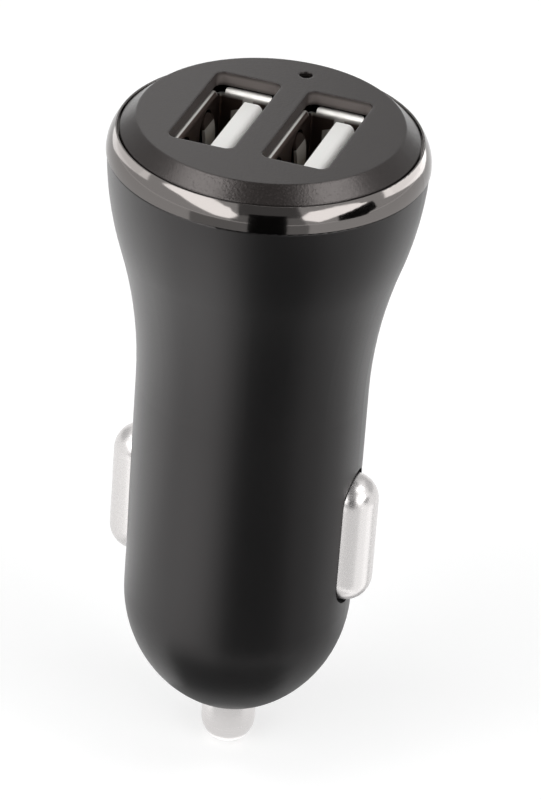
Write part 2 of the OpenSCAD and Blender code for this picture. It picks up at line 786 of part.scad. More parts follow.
// Points of the spring's wire, ring by ring, and the faces between the rings
function coil_point(i, j) =
    let (a = 360 * i / coil_steps, b = 360 * j / coil_sides, r = spring_coil_r + spring_wire_r * cos(b))
    [r * cos(a), r * sin(a), spring_wire_r * (1 + sin(b)) + coil_rise * i / coil_rings];
coil_points = [for (i = [0:coil_rings], j = [0:coil_sides - 1]) coil_point(i, j)];
coil_faces = concat(
    [for (i = [0:coil_rings - 1], j = [0:coil_sides - 1])
        [i * coil_sides + j, i * coil_sides + (j + 1) % coil_sides,
            (i + 1) * coil_sides + (j + 1) % coil_sides, (i + 1) * coil_sides + j]],
    [[for (j = [coil_sides - 1:-1:0]) j]],
    [[for (j = [0:coil_sides - 1]) coil_rings * coil_sides + j]]);

// Coil spring behind the tip
module tip_spring() color("#b9bbbd") {
    translate([0, 0, z_spring]) polyhedron(points = coil_points, faces = coil_faces);
}

// Turned tip: rounded end, flange inside the nose and a stem that guides the spring
module tip_contact() color("#d8d6d2") {
    z_dome = z_nose_end - tip_out + tip_r;
    rotate_extrude() {
        intersection() {
            translate([0, z_dome]) circle(tip_r);
            translate([0, z_dome - tip_r]) square([tip_r, tip_r]);
        }
        translate([0, z_dome]) square([tip_r, z_flange - z_dome + eps]);
        translate([0, z_flange]) square([tip_flange_r, tip_flange_t]);
        translate([0, z_flange]) square([stem_r, tip_flange_t + stem_l]);
    }
}

// A side contact's dome: a rod with round ends, r in radius, with its axis along Z
module capsule(r) {
    translate([contact_axis, 0, z_contact - contact_half]) cylinder(r = r, h = 2 * contact_half);
    for (s = [-1, 1])
        translate([contact_axis, 0, z_contact + s * contact_half]) sphere(r);
}

// Drawn sheet contact at +X: a hollow dome on straight sides, with a flange that follows the bore
module side_contact() {
    inner = contact_r - contact_sheet;
    wall_in = 2;
    x_in = cavity_r - wall_in;
    difference() {
        union() {
            capsule(contact_r);
            stadium(contact_r, contact_half, x_in, contact_axis);
            intersection() {
                translate([0, 0, z_contact - contact_l]) cylinder(r = flange_r, h = 2 * contact_l);
                stadium(contact_r + contact_flange, contact_half, x_in, barrel_r);
            }
        }
        translate([0, 0, z_contact - contact_l - past]) cylinder(r = flange_in_r, h = 2 * contact_l + 2 * past);
        capsule(inner);
        stadium(inner, contact_half, 0, contact_axis);
    }
}

module right_contact() color("#dcdad6") side_contact();

module left_contact() color("#dcdad6") mirror([1, 0, 0]) side_contact();

// Bowed leaf behind the contact at +X, with two feet clipped on the board's edge
module leaf_spring() {
    clip_wall = 0.4;
    foot = [1, board_t + 2 * clip_wall, 1.5];
    foot_in = 0.4;
    z_foot = leaf_half - foot_in;
    translate([leaf_top - leaf_arc, -leaf_w / 2, z_contact]) rotate([-90, 0, 0])
        intersection() {
            difference() {
                cylinder(r = leaf_arc, h = leaf_w, $fn = 180);
                translate([0, 0, -past]) cylinder(r = leaf_arc - leaf_t, h = leaf_w + 2 * past, $fn = 180);
            }
            translate([leaf_foot - leaf_t - leaf_top + leaf_arc, -far, -past]) cube([far, 2 * far, far]);
        }
    for (s = [-1, 1])
        difference() {
            block(foot, [leaf_foot - foot[0] / 2, 0, z_contact + s * z_foot - foot[2] / 2]);
            block([2 * board_waist, board_t, foot[2] + 2 * past],
                [0, 0, z_contact + s * z_foot - foot[2] / 2 - past]);
        }
}

module right_contact_spring() color("#a9a7a0") leaf_spring();

module left_contact_spring() color("#a9a7a0") mirror([1, 0, 0]) leaf_spring();

housing();
trim_ring();
face_cap();
light_pipe();
status_led();
usb_shell_left();
usb_shell_right();
usb_tongue_left();
usb_tongue_right();
usb_contacts_left();
usb_contacts_right();
port_board();
main_board();
board_pins();
inductor_core();
inductor_winding();
input_capacitor();
output_capacitor();
buck_controller();
controller_leads();
rectifier_diode();
input_fuse();
chip_parts();
spring_cup();
tip_spring();
tip_contact();
left_contact();
right_contact();
left_contact_spring();
right_contact_spring();
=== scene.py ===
"""Looks of a car USB charger plug: soft-touch barrel, dark chrome ring, satin cap and nickel contacts."""

import math

import bpy
from mathutils import Matrix, Vector


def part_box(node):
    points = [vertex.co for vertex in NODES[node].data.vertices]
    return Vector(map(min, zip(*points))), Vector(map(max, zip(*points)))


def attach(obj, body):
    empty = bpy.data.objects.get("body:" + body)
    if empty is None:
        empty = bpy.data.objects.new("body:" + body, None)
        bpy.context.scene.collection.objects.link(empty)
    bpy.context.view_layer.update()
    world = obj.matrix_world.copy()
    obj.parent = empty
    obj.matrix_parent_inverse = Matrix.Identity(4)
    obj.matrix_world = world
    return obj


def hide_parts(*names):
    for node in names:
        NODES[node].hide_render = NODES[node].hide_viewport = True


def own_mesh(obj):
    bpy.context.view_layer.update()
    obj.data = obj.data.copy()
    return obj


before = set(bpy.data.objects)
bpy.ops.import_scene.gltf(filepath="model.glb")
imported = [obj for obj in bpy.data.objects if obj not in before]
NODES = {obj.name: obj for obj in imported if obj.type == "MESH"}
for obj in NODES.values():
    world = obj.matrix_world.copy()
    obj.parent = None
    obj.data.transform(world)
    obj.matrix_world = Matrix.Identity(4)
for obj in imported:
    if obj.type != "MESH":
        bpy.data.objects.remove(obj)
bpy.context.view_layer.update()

bl_info = {
    "name": "Car USB charger plug",
    "version": (1, 0, 0),
    "blender": (4, 5, 0),
    "location": "3D View > Sidebar > Charger",
    "description": "Dresses the charger plug's solids and sets up its studio",
    "category": "Object",
}

MM = 0.001
FACE_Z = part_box("face_cap")[1].z
FOOT_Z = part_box("tip_contact")[0].z
HEAD = Vector((0, 0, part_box("trim_ring")[1].z))  # the middle of the ring's top edge
# The Mix node's sockets: two colours and the colour it gives, and two numbers
COLOUR_A, COLOUR_B, COLOUR_OUT = 6, 7, 2
NUMBER_A, NUMBER_B = 2, 3
# Where most of a noise texture's values lie
NOISE_SPAN = (0.3, 0.7)
# Heights of the cards and the lamps over the floor, and the degrees between a curved card's corners
CARD_LIFT, LAMP_LIFT = 0.3 * MM, 0.4 * MM
CARD_TURN = 15


def linear(hex_colour):
    """sRGB hex value to linear red, green and blue."""
    levels = [int(hex_colour[i:i + 2], 16) / 255 for i in (1, 3, 5)]
    return tuple(v / 12.92 if v <= 0.04045 else ((v + 0.055) / 1.055) ** 2.4 for v in levels)


def add(tree, kind, inputs=None, **settings):
    """Adds a node with its settings; an input given as a socket is linked, any other is set."""
    node = tree.nodes.new(kind)
    for name, value in settings.items():
        setattr(node, name, value)
    for name, value in (inputs or {}).items():
        socket = node.inputs[name]
        if isinstance(value, bpy.types.NodeSocket):
            tree.links.new(value, socket)
        else:
            socket.default_value = value
    return node


def sides(tree):
    """A place's distances from the plug's middle planes, along the ports and across them, and its height."""
    place = add(tree, "ShaderNodeSeparateXYZ", {"Vector": tree.nodes["Texture Coordinate"].outputs["Object"]})
    along, across = (add(tree, "ShaderNodeMath", {0: place.outputs[axis]}, operation="ABSOLUTE").outputs[0]
                     for axis in ("Y", "X"))
    return along, across, place.outputs["Z"]


def new_material(name):
    """An empty node material with its output, as (material, tree, output)."""
    material = bpy.data.materials.new(name)
    material.use_nodes = True
    tree = material.node_tree
    tree.nodes.clear()
    return material, tree, add(tree, "ShaderNodeOutputMaterial")


def surface(name, colour, rough, metallic=0.0, grain_mm=0.2, rough_spread=0.0, colour_spread=0.0,
            bump=0.0, bump_mm=0.0, stretch=(1, 1, 1), edge_mm=0.0, **sockets):
    """A moulded, cast or plated surface: one colour with a fine grain in its tint, its gloss and its height.

    The grain of real paint and plating is finer than about 0.05 mm and would not show in the render, so
    grain_mm is drawn coarser there. An edge_mm above 0 rounds the sharp edges' shading by that radius.
    """
    material, tree, output = new_material(name)
    shader = add(tree, "ShaderNodeBsdfPrincipled", {"Base Color": (*colour, 1), "Roughness": rough,
                                                    "Metallic": metallic, **sockets})
    tree.links.new(shader.outputs["BSDF"], output.inputs["Surface"])
    place = add(tree, "ShaderNodeTexCoord")
    mapping = add(tree, "ShaderNodeMapping", {"Vector": place.outputs["Object"], "Scale": stretch})
    grain = add(tree, "ShaderNodeTexNoise", {
        "Vector": mapping.outputs["Vector"], "Scale": 1 / (grain_mm * MM), "Detail": 3.0,
        "Roughness": 0.6}).outputs["Fac"]
    if colour_spread:
        darker, lighter = ((*[min(1, c * (1 + spread)) for c in colour], 1)
                           for spread in (-colour_spread, colour_spread))
        tint = add(tree, "ShaderNodeMix", {"Factor": grain, COLOUR_A: darker, COLOUR_B: lighter},
                   data_type="RGBA")
        tree.links.new(tint.outputs[COLOUR_OUT], shader.inputs["Base Color"])
    if rough_spread:
        gloss = add(tree, "ShaderNodeMapRange", {
            "Value": grain, "From Min": NOISE_SPAN[0], "From Max": NOISE_SPAN[1],
            "To Min": rough - rough_spread, "To Max": rough + rough_spread})
        tree.links.new(gloss.outputs["Result"], shader.inputs["Roughness"])
    normal = None
    if edge_mm:
        normal = add(tree, "ShaderNodeBevel", {"Radius": edge_mm * MM}, samples=4).outputs["Normal"]
        tree.links.new(normal, shader.inputs["Normal"])
    if bump:
        relief = add(tree, "ShaderNodeBump", {"Height": grain, "Strength": bump, "Distance": bump_mm * MM})
        if normal:
            tree.links.new(normal, relief.inputs["Normal"])
        tree.links.new(relief.outputs["Normal"], shader.inputs["Normal"])
    return material


def dress(material, *names):
    """Gives CAD nodes one material."""
    for name in names:
        NODES[name].data.materials.clear()
        NODES[name].data.materials.append(material)


def smooth(obj, angle=math.radians(30)):
    """Rounds the shading of curved faces and keeps edges sharper than angle."""
    obj.data.shade_smooth()
    obj.data.set_sharp_from_angle(angle=angle)


class ChargerFinish(bpy.types.PropertyGroup):
    """Colours and grain of the charger's surfaces."""

    soft_touch: bpy.props.FloatVectorProperty(
        name="Soft-touch colour", description="Colour of the coated housing", default=linear("#080809"),
        min=0, max=1, subtype="COLOR")
    cap: bpy.props.FloatVectorProperty(
        name="Cap colour", description="Colour of the moulded face cap", default=linear("#211e1d"),
        min=0, max=1, subtype="COLOR")
    plating: bpy.props.FloatVectorProperty(
        name="Plating colour", description="Colour of the dark chrome on the trim ring",
        default=linear("#767270"), min=0, max=1, subtype="COLOR")
    nickel: bpy.props.FloatVectorProperty(
        name="Nickel colour", description="Colour of the plated contacts and tip", default=linear("#dad7d6"),
        min=0, max=1, subtype="COLOR")
    tongue: bpy.props.FloatVectorProperty(
        name="Tongue colour", description="Colour of the moulded tongues in the ports",
        default=linear("#f8f7f4"), min=0, max=1, subtype="COLOR")
    grain: bpy.props.FloatProperty(
        name="Soft-touch grain", description="Size of the coating's grain", default=0.12 * MM, min=0.02 * MM,
        max=1 * MM, subtype="DISTANCE", unit="LENGTH")


class ChargerStage(bpy.types.PropertyGroup):
    """Camera and the levels of the room, the softboxes and the lamps."""

    azimuth: bpy.props.FloatProperty(
        name="Camera azimuth", description="Turn of the camera about the plug's axis, from the front",
        default=math.radians(16.793), subtype="ANGLE", unit="ROTATION")
    elevation: bpy.props.FloatProperty(
        name="Camera elevation", description="Height of the camera over the horizon",
        default=math.radians(30.749), subtype="ANGLE", unit="ROTATION")
    roll: bpy.props.FloatProperty(
        name="Camera roll", description="Turn of the camera about its own view", default=math.radians(4.312),
        subtype="ANGLE", unit="ROTATION")
    distance: bpy.props.FloatProperty(
        name="Camera distance", description="From the middle of the face, along the view",
        default=421.3 * MM, subtype="DISTANCE", unit="LENGTH")
    drop: bpy.props.FloatProperty(
        name="Camera drop", description="How far the view's middle lies below the face in the picture",
        default=23.837 * MM, subtype="DISTANCE", unit="LENGTH")
    slide: bpy.props.FloatProperty(
        name="Camera slide", description="How far the view's middle lies left of the face's middle",
        default=0.087 * MM, subtype="DISTANCE", unit="LENGTH")
    lens: bpy.props.FloatProperty(
        name="Lens", description="Focal length for the sensor's height", default=148.68, min=1,
        subtype="DISTANCE_CAMERA")
    sensor: bpy.props.FloatProperty(
        name="Sensor height", description="Height of the sensor", default=24, min=1,
        subtype="DISTANCE_CAMERA")
    world_level: bpy.props.FloatProperty(
        name="World level", description="Strength of the room's soft light", default=0.5, min=0, max=1)
    low_level: bpy.props.FloatProperty(
        name="Low softbox level", description="Brightness of the low softboxes' faces", default=4.2,
        min=0, max=10)
    high_level: bpy.props.FloatProperty(
        name="High softbox level", description="Brightness of the high softboxes' faces", default=5.0,
        min=0, max=10)
    contact_level: bpy.props.FloatProperty(
        name="Contact light level", description="Brightness of the lamps under the right contact and the tip",
        default=0.8, min=0, max=10)
    edge_level: bpy.props.FloatProperty(
        name="Edge light level", description="Brightness of the lamp on the floor at the housing's left edge",
        default=0.4, min=0, max=10)
    ring_level: bpy.props.FloatProperty(
        name="Ring light level", description="Brightness of the lamps behind the ring", default=3.0,
        min=0, max=10)


class CHARGER_OT_housing(bpy.types.Operator):
    """Dresses the one-piece housing"""

    bl_idname = "charger.housing"
    bl_label = "Housing"

    def execute(self, context):
        finish = context.scene.charger_finish
        # Soft-touch paint on moulded ABS, sprayed: matte black that greys towards its edges under broad light
        coating = surface("Soft-touch paint on ABS, sprayed", finish.soft_touch, 0.38,
                          grain_mm=finish.grain / MM, rough_spread=0.03, colour_spread=0.08, bump=0.1,
                          bump_mm=0.01, IOR=1.54,
                          **{"Specular Tint": (1.0, 0.95, 0.94, 1), "Sheen Weight": 0.05})
        dress(coating, "housing")
        smooth(NODES["housing"])
        return {"FINISHED"}


class CHARGER_OT_head(bpy.types.Operator):
    """Dresses the trim ring, the face cap and the status light"""

    bl_idname = "charger.head"
    bl_label = "Head"

    def execute(self, context):
        finish = context.scene.charger_finish
        # Dark chrome, vacuum plated on polished ABS: a mirror that shows the studio a stop darker
        plating = surface("Dark chrome on ABS, plated", finish.plating, 0.09, metallic=1.0, grain_mm=0.6,
                          rough_spread=0.01)
        # ABS moulded in a finely sparked tool: satin grey that lifts where it mirrors the bright room
        satin = surface("ABS, moulded satin", finish.cap, 0.2, grain_mm=0.2, rough_spread=0.06,
                        colour_spread=0.3, bump=1.0, bump_mm=0.015, edge_mm=0.25, IOR=1.56,
                        **{"Specular Tint": (0.9, 0.83, 0.81, 1)})
        # The walls of the port openings get painted light and shade besides their duller finish
        self.rough_walls_painted_light_and_shade(satin.node_tree)
        dress(plating, "trim_ring")
        dress(satin, "face_cap")
        # Smoked polycarbonate, moulded and polished: dark in its hole while the light is off
        smoked = surface("Polycarbonate, moulded smoked", linear("#2c2e31"), 0.08, grain_mm=0.5,
                         rough_spread=0.02, IOR=1.58, **{"Transmission Weight": 0.5})
        # Epoxy, cast round the light's chip: pale yellow and glossy
        resin = surface("Epoxy resin, cast", linear("#e8e4c8"), 0.25, grain_mm=0.3, rough_spread=0.05)
        dress(smoked, "light_pipe")
        dress(resin, "status_led")
        for name in ("trim_ring", "face_cap", "light_pipe"):
            smooth(NODES[name])
        return {"FINISHED"}

    @staticmethod
    def rough_walls_painted_light_and_shade(tree):
        """Makes the walls of the port openings duller and paints light and shade on them: a paler painted
        light in the middle of their end walls, and darker painted shade at the walls' top and foot and on the
        side walls.
        """
        # Each pair is where a mask starts and where it ends
        openings_along, openings_across = (6.8 * MM, 6.9 * MM), (7.2 * MM, 7.3 * MM)
        under_face = (FACE_Z - 0.02 * MM, FACE_Z - 0.15 * MM)
        end_wall, wall_foot = (6.0 * MM, 6.5 * MM), (FACE_Z - 1.2 * MM, FACE_Z - 0.9 * MM)
        wall_top = (FACE_Z - 0.4 * MM, FACE_Z - 0.15 * MM)
        # The wall colours are painted light and shade: the paler one is painted light in the middle of the
        # end walls, the darker one painted shade on the rest of the walls
        shaded_wall_colour, lit_wall_colour, wall_rough = linear("#3a3533"), linear("#645e5b"), 0.5
        along, across, height = sides(tree)
        walls = add(tree, "ShaderNodeMapRange", {
            "Value": height, "From Min": under_face[0], "From Max": under_face[1]}).outputs["Result"]
        for distance, (near, far) in ((along, openings_along), (across, openings_across)):
            inside = add(tree, "ShaderNodeMapRange", {
                "Value": distance, "From Min": near, "From Max": far, "To Min": 1.0, "To Max": 0.0})
            walls = add(tree, "ShaderNodeMath", {0: walls, 1: inside.outputs["Result"]},
                        operation="MULTIPLY").outputs[0]
        at_end = add(tree, "ShaderNodeMapRange", {
            "Value": along, "From Min": end_wall[0], "From Max": end_wall[1]})
        above_foot = add(tree, "ShaderNodeMapRange", {
            "Value": height, "From Min": wall_foot[0], "From Max": wall_foot[1], "To Min": 0.0,
            "To Max": at_end.outputs["Result"]})
        lit_patch = add(tree, "ShaderNodeMapRange", {
            "Value": height, "From Min": wall_top[0], "From Max": wall_top[1],
            "To Min": above_foot.outputs["Result"], "To Max": 0.0})
        wall_light_and_shade = add(tree, "ShaderNodeMix", {
            "Factor": lit_patch.outputs["Result"], COLOUR_A: (*shaded_wall_colour, 1),
            COLOUR_B: (*lit_wall_colour, 1)}, data_type="RGBA")
        shader = tree.nodes["Principled BSDF"]
        plain_colour, plain_rough = (shader.inputs[name].links[0].from_socket
                                     for name in ("Base Color", "Roughness"))
        colour = add(tree, "ShaderNodeMix", {
            "Factor": walls, COLOUR_A: plain_colour, COLOUR_B: wall_light_and_shade.outputs[COLOUR_OUT]}, data_type="RGBA")
        rough = add(tree, "ShaderNodeMix", {"Factor": walls, NUMBER_A: plain_rough, NUMBER_B: wall_rough})
        tree.links.new(colour.outputs[COLOUR_OUT], shader.inputs["Base Color"])
        tree.links.new(rough.outputs[0], shader.inputs["Roughness"])


class CHARGER_OT_ports(bpy.types.Operator):
    """Dresses the two USB-A ports"""

    bl_idname = "charger.ports"
    bl_label = "Ports"

    def execute(self, context):
        finish = context.scene.charger_finish
        # Steel sheet, stamped and nickel plated: bright lips, a dull depth darkened by painted shade, and
        # bowed fingers left paler as painted light
        sheet = surface("Steel sheet, nickel plated", linear("#d2d0cb"), 0.22, metallic=1.0, grain_mm=0.1,
                        rough_spread=0.06, stretch=(1, 1, 0.15))
        # Painted shade darkens the sheet below its lips, and painted light keeps the fingers paler
        self.painted_shade_by_depth(sheet.node_tree)
        # Nylon, moulded white: even and slightly glossy
        nylon = surface("Nylon, moulded white", finish.tongue, 0.4, grain_mm=0.25, rough_spread=0.05,
                        colour_spread=0.02, IOR=1.53)
        # Phosphor bronze, stamped and gold plated: warm, smooth contact blades
        gold = surface("Phosphor bronze, gold plated", linear("#e0bf72"), 0.2, metallic=1.0, grain_mm=0.2,
                       rough_spread=0.05)
        dress(sheet, "usb_shell_left", "usb_shell_right")
        dress(nylon, "usb_tongue_left", "usb_tongue_right")
        dress(gold, "usb_contacts_left", "usb_contacts_right", "board_pins")
        for name in ("usb_shell_left", "usb_shell_right", "usb_tongue_left", "usb_tongue_right"):
            smooth(NODES[name])
        return {"FINISHED"}

    @staticmethod
    def painted_shade_by_depth(tree):
        """Paints shade into the sheet: keeps the outer lips bright, darkens the rest with painted shade, and
        leaves the bowed fingers paler as painted light.
        """
        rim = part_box("usb_shell_left")[1].z
        tongue_low, tongue_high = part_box("usb_tongue_right")
        middle = (tongue_low.x + tongue_high.x) / 2
        # Each pair is where a mask starts and where it ends
        lip_depth = (rim - 0.15 * MM, rim - 0.5 * MM)
        end_sheet, end_drop = (6.0 * MM, 6.2 * MM), 0.35 * MM
        end_lip, end_lip_rough = (5.7 * MM, 5.9 * MM), 0.5
        side_end, inner_lip = (5.4 * MM, 5.6 * MM), (2.76 * MM, 2.82 * MM)
        finger_head, finger_bow = (rim - 1.95 * MM, rim - 1.55 * MM), (2.52 * MM, 2.4 * MM)
        out_of_mask = 1 * MM
        finger_shade_share, dull_rough, worn_rough = 0.2, 0.42, 0.55
        # The dark colour is painted shade in the port's depth; the bright one is the plated sheet's own
        # colour
        bright_colour, painted_shade_colour = linear("#e2e0dc"), linear("#574a45")
        along, across, height = sides(tree)
        # At the end walls the painted shade starts deeper down
        drop = add(tree, "ShaderNodeMapRange", {
            "Value": along, "From Min": end_sheet[0], "From Max": end_sheet[1], "To Max": end_drop})
        lifted = add(tree, "ShaderNodeMath", {0: height, 1: drop.outputs["Result"]})
        depth = add(tree, "ShaderNodeMapRange", {
            "Value": lifted.outputs[0], "From Min": lip_depth[0], "From Max": lip_depth[1]},
            interpolation_type="SMOOTHSTEP").outputs["Result"]
        # How far a place lies from its own port's middle plane
        off = add(tree, "ShaderNodeMath", {0: across, 1: middle}, operation="SUBTRACT")
        reach = add(tree, "ShaderNodeMath", {0: off.outputs[0]}, operation="ABSOLUTE").outputs[0]
        past_side = add(tree, "ShaderNodeMapRange", {
            "Value": along, "From Min": side_end[0], "From Max": side_end[1],
            "To Max": out_of_mask}).outputs["Result"]
        # The lips' inner side gets the painted shade too, except past the ends of the side walls
        inner = add(tree, "ShaderNodeMapRange", {
            "Value": reach, "From Min": inner_lip[0], "From Max": inner_lip[1], "To Min": 1.0, "To Max": 0.0})
        inner = add(tree, "ShaderNodeMapRange", {
            "Value": past_side, "From Max": out_of_mask, "To Min": inner.outputs["Result"], "To Max": 0.0})
        past_head = add(tree, "ShaderNodeMapRange", {
            "Value": height, "From Min": finger_head[0], "From Max": finger_head[1], "To Max": out_of_mask})
        for distance in (past_side, past_head.outputs["Result"]):
            reach = add(tree, "ShaderNodeMath", {0: reach, 1: distance}).outputs[0]
        # The fingers keep only a share of the painted shade, which paints light on them
        finger = add(tree, "ShaderNodeMapRange", {
            "Value": reach, "From Min": finger_bow[0], "From Max": finger_bow[1], "To Min": 1.0,
            "To Max": finger_shade_share}).outputs["Result"]
        painted_shade = add(tree, "ShaderNodeMath", {0: depth, 1: inner.outputs["Result"]}, operation="MAXIMUM")
        painted_shade = add(tree, "ShaderNodeMath", {0: painted_shade.outputs[0], 1: finger}, operation="MULTIPLY")
        tint = add(tree, "ShaderNodeMix", {
            "Factor": painted_shade.outputs[0], COLOUR_A: (*bright_colour, 1), COLOUR_B: (*painted_shade_colour, 1)},
            data_type="RGBA")
        lip = add(tree, "ShaderNodeMapRange", {
            "Value": along, "From Min": end_lip[0], "From Max": end_lip[1], "To Max": end_lip_rough})
        lip = add(tree, "ShaderNodeMath", {0: lip.outputs["Result"], 1: depth}, operation="SUBTRACT")
        worn = add(tree, "ShaderNodeMapRange", {
            "Value": finger, "From Min": 1.0, "From Max": finger_shade_share, "To Min": dull_rough,
            "To Max": worn_rough})
        rough = add(tree, "ShaderNodeMath", {0: worn.outputs["Result"], 1: lip.outputs[0]},
                    operation="MAXIMUM")
        shader = tree.nodes["Principled BSDF"]
        tree.links.new(tint.outputs[COLOUR_OUT], shader.inputs["Base Color"])
        tree.links.new(rough.outputs[0], shader.inputs["Roughness"])


class CHARGER_OT_contacts(bpy.types.Operator):
    """Dresses the side contacts and the tip"""

    bl_idname = "charger.contacts"
    bl_label = "Contacts and tip"

    def execute(self, context):
        finish = context.scene.charger_finish
        # Brass, drawn and satin nickel plated: soft bright reflections with a grey edge
        drawn = surface("Brass, satin nickel plated", finish.nickel, 0.28, metallic=1.0, grain_mm=0.15,
                        rough_spread=0.04, bump=0.02, bump_mm=0.01)
        # Brass, turned and nickel plated: fine rings round the tip
        turned = surface("Brass, turned and nickel plated", finish.nickel, 0.3, metallic=1.0, grain_mm=0.5,
                         rough_spread=0.05, stretch=(0.2, 0.2, 4))
        dress(drawn, "left_contact", "right_contact")
        dress(turned, "tip_contact")
        for name in ("left_contact", "right_contact", "tip_contact"):
            smooth(NODES[name])
        return {"FINISHED"}


class CHARGER_OT_springs(bpy.types.Operator):
    """Makes the coil spring and the leaf springs that give way with the contacts"""

    bl_idname = "charger.springs"
    bl_label = "Springs"

    def execute(self, context):
        # Spring steel, drawn and oiled: grey with a fine grain
        steel = surface("Spring steel, drawn", linear("#b4b3ae"), 0.3, metallic=1.0, grain_mm=0.2,
                        rough_spread=0.08)
        coil = self.soft_copy("tip_spring", "coil_spring", steel)
        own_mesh(coil)
        for side, name in ((-1, "left"), (1, "right")):
            node = f"{name}_contact_spring"
            leaf = self.soft_copy(node, f"{name}_leaf_spring", steel)
            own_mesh(leaf)
        return {"FINISHED"}

    @staticmethod
    def soft_copy(node, name, material):
        """A copy of a CAD node that may change shape and stands for it."""
        source = NODES[node]
        piece = bpy.data.objects.new(name, source.data.copy())
        bpy.context.scene.collection.objects.link(piece)
        piece.data.materials.clear()
        piece.data.materials.append(material)
        smooth(piece, math.radians(50))
        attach(piece, "plug")
        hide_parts(node)
        return piece


class CHARGER_OT_electronics(bpy.types.Operator):
    """Dresses the boards and what stands on them"""

    bl_idname = "charger.electronics"
    bl_label = "Electronics"

    def execute(self, context):
        # Glass-fibre laminate with solder mask: glossy green over a faint weave
        laminate = surface("Glass-fibre laminate, solder masked", linear("#1f5a35"), 0.3, grain_mm=0.4,
                           rough_spread=0.05, colour_spread=0.1)
        # Ferrite, pressed and sintered: dull dark grey, slightly porous
        ferrite = surface("Ferrite, pressed", linear("#3a3a3d"), 0.7, grain_mm=0.15, rough_spread=0.1,
                          colour_spread=0.15)
        # Copper wire, enamelled: warm, glossy turns
        copper = surface("Copper wire, enamelled", linear("#b5683a"), 0.25, metallic=1.0, grain_mm=0.3,
                         rough_spread=0.05)
        # PVC sleeve, shrunk over an aluminium can: satin blue
        sleeve = surface("PVC sleeve, shrunk", linear("#2c3d66"), 0.35, grain_mm=0.4, rough_spread=0.05)
        # Epoxy, transfer moulded: matte black chip bodies
        epoxy = surface("Epoxy, moulded black", linear("#1d1d1f"), 0.6, grain_mm=0.1, rough_spread=0.08)
        # Copper leads, tin plated: dull silver
        tin = surface("Copper leads, tin plated", linear("#c3c4c6"), 0.35, metallic=1.0, grain_mm=0.2,
                      rough_spread=0.08)
        # Polymer fuse, dip coated: satin yellow
        coated = surface("Polymer fuse, dip coated", linear("#c8aa34"), 0.4, grain_mm=0.3, rough_spread=0.05)
        # Alumina, fired: matte tan chip parts
        alumina = surface("Alumina, fired", linear("#a89878"), 0.6, grain_mm=0.15, rough_spread=0.05,
                          colour_spread=0.1)
        # Brass, pressed and bare: yellow with light tarnish
        brass = surface("Brass, pressed", linear("#c8a554"), 0.3, metallic=1.0, grain_mm=0.6,
                        rough_spread=0.1)
        for material, names in (
                (laminate, ("port_board", "main_board")), (ferrite, ("inductor_core",)),
                (copper, ("inductor_winding",)), (sleeve, ("input_capacitor", "output_capacitor")),
                (epoxy, ("buck_controller", "rectifier_diode")), (tin, ("controller_leads",)),
                (coated, ("input_fuse",)), (alumina, ("chip_parts",)), (brass, ("spring_cup",))):
            dress(material, *names)
            for name in names:
                smooth(NODES[name])
        return {"FINISHED"}


def toward(azimuth, elevation):
    """Unit vector from the plug to a place at that azimuth from the front and that height."""
    return Vector((math.sin(azimuth) * math.cos(elevation), -math.cos(azimuth) * math.cos(elevation),
                   math.sin(elevation)))


def glow(name, level):
    """A material that only gives light, at that brightness."""
    material, tree, output = new_material(name)
    shader = add(tree, "ShaderNodeEmission", {"Color": (1, 1, 1, 1), "Strength": level})
    tree.links.new(shader.outputs["Emission"], output.inputs["Surface"])
    return material


def seen_directly(tree):
    """A socket that is 1 for camera, glossy and transmission rays, and 0 for others."""
    path = add(tree, "ShaderNodeLightPath")
    seen = path.outputs["Is Camera Ray"]
    for ray in ("Is Glossy Ray", "Is Transmission Ray"):
        seen = add(tree, "ShaderNodeMath", {0: seen, 1: path.outputs[ray]}, operation="MAXIMUM").outputs[0]
    return seen


def studio_sheet(name, corners, material, gives_light):
    """A flat sheet that the camera doesn't see: a softbox's face, or a card that only reflections see."""
    mesh = bpy.data.meshes.new(name)
    mesh.from_pydata(corners, [], [tuple(range(len(corners)))])
    mesh.materials.append(material)
    sheet = bpy.data.objects.new(name, mesh)
    bpy.context.scene.collection.objects.link(sheet)
    sheet.visible_camera = sheet.visible_shadow = sheet.visible_transmission = False
    sheet.visible_diffuse = gives_light


def upright_sheet(name, azimuth, outline, distance, material, gives_light=False):
    """A sheet that faces the head; outline lists azimuths from the given one and elevations, in degrees."""
    rays = [toward(azimuth + math.radians(turn), math.radians(rise)) for turn, rise in outline]
    middle = sum(rays, Vector()).normalized()
    studio_sheet(name, [HEAD + ray * distance / ray.dot(middle) for ray in rays], material, gives_light)


def floor_sheet(name, azimuth, turns, reaches, material):
    """A sheet on the floor between two azimuths, in degrees, and two distances from the plug, in mm."""
    steps = max(1, round((turns[1] - turns[0]) / CARD_TURN))
    sweep = [turns[0] + (turns[1] - turns[0]) * i / steps for i in range(steps + 1)]
    corners = []
    for reach, ends in ((reaches[0], sweep), (reaches[1], sweep[::-1])):
        for turn in ends:
            spot = toward(azimuth + math.radians(turn), 0) * reach * MM
            corners.append((spot.x, spot.y, FOOT_Z + CARD_LIFT))
    studio_sheet(name, corners, material, False)


